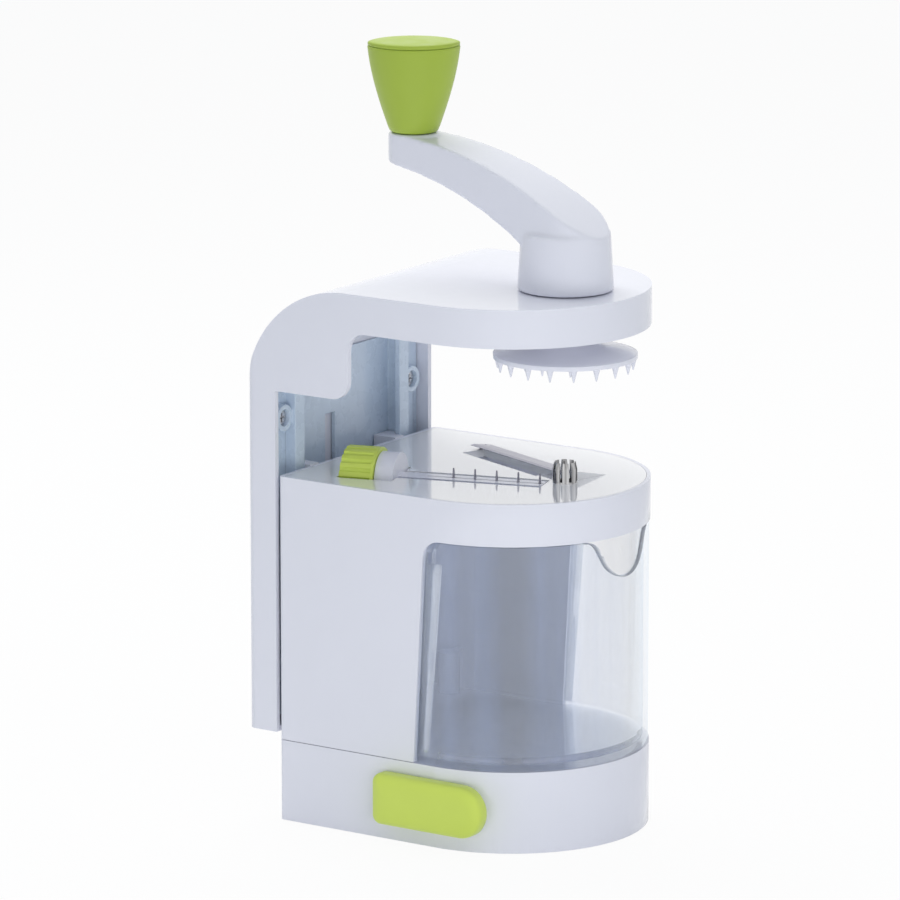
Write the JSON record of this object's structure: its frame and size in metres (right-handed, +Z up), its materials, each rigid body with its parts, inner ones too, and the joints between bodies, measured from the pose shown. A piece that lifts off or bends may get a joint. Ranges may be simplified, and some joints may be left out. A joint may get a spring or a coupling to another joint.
{
  "type": "vertical spiralizer",
  "caption": "Vertical spiralizer: a crank on a sliding arm turns a spiked disc over a blade deck with a turning comb, above a clear slide-out container and a suction base with a lever",
  "frame": {"origin": "on the table at the middle of the base's footprint", "axes": "+Z up, -Y to the round front where the container pulls out, -X to the side with the lever"},
  "size_m": [0.123, 0.15, 0.321],
  "materials": {
    "white_plastic": "smooth, satin gloss",
    "liner_plastic": "smooth",
    "deck_plastic": "polished",
    "green_plastic": "soft gloss",
    "clear_plastic": "clear, polished",
    "steel": "ground",
    "chrome": "polished",
    "rubber": "matt"
  },
  "bodies": {
    "stand": {"base_shell": "white_plastic", "bottom_plate": "white_plastic", "bottom_screws": "steel", "body_shell": "white_plastic", "body_screws": "steel", "deck": "deck_plastic", "deck_screws": "steel", "corer": "chrome", "slicing_blade": "steel", "blade_rivets": "steel", "drum_pin": "steel", "guide_rails": "white_plastic", "rail_screws": "steel", "travel_stop": "steel"},
    "arm": {"arm_frame": "white_plastic", "column_liner": "liner_plastic", "liner_screws": "steel", "arm_cover": "white_plastic", "cover_screws": "steel", "crank_bush": "steel"},
    "crank": {"crank_arm": "white_plastic", "crank_shaft": "steel", "spiked_disc": "white_plastic", "disc_screw": "steel", "knob_pin": "steel"},
    "handle": {"crank_knob": "green_plastic", "knob_cap": "green_plastic"},
    "selector": {"comb_drum": "white_plastic", "coarse_comb": "steel", "fine_comb": "steel", "selector_knob": "green_plastic"},
    "container": {"catch_container": "clear_plastic"},
    "lever": {"suction_lever": "green_plastic", "cam_shaft": "steel", "lift_cam": "white_plastic", "shaft_clip": "steel"},
    "cup": {"suction_cup": "rubber", "cup_stem": "white_plastic"}
  },
  "joints": [
    {"name": "arm_slide", "type": "slide", "parent": "stand", "child": "arm", "axis": [0, 0, 1], "range_m": [-0.0338, 0.0605]},
    {"name": "crank_turn", "type": "hinge", "parent": "arm", "child": "crank", "pos_m": [0, -0.036, 0.24], "axis": [0, 0, 1], "continuous": true},
    {"name": "knob_spin", "type": "hinge", "parent": "crank", "child": "handle", "pos_m": [0, 0.0383, 0.3], "axis": [0, 0, 1], "continuous": true},
    {"name": "selector_turn", "type": "hinge", "parent": "stand", "child": "selector", "pos_m": [-0.00594, -0.03778, 0.143], "axis": [-0.2874, 0.9578, 0], "continuous": true},
    {"name": "container_slide", "type": "slide", "parent": "stand", "child": "container", "axis": [0, -1, 0], "range_m": [0, 0.12]},
    {"name": "lever_turn", "type": "hinge", "parent": "stand", "child": "lever", "pos_m": [-0.06, -0.0262, 0.0185], "axis": [1, 0, 0], "range_deg": [0, 90]},
    {"name": "cup_lift", "type": "slide", "parent": "stand", "child": "cup", "axis": [0, 0, 1], "range_m": [0, 0.00424]}
  ],
  "couplings": [
    {"joint": "lever_turn", "follows": "cup_lift", "rad_per_m": 370.24}
  ]
}
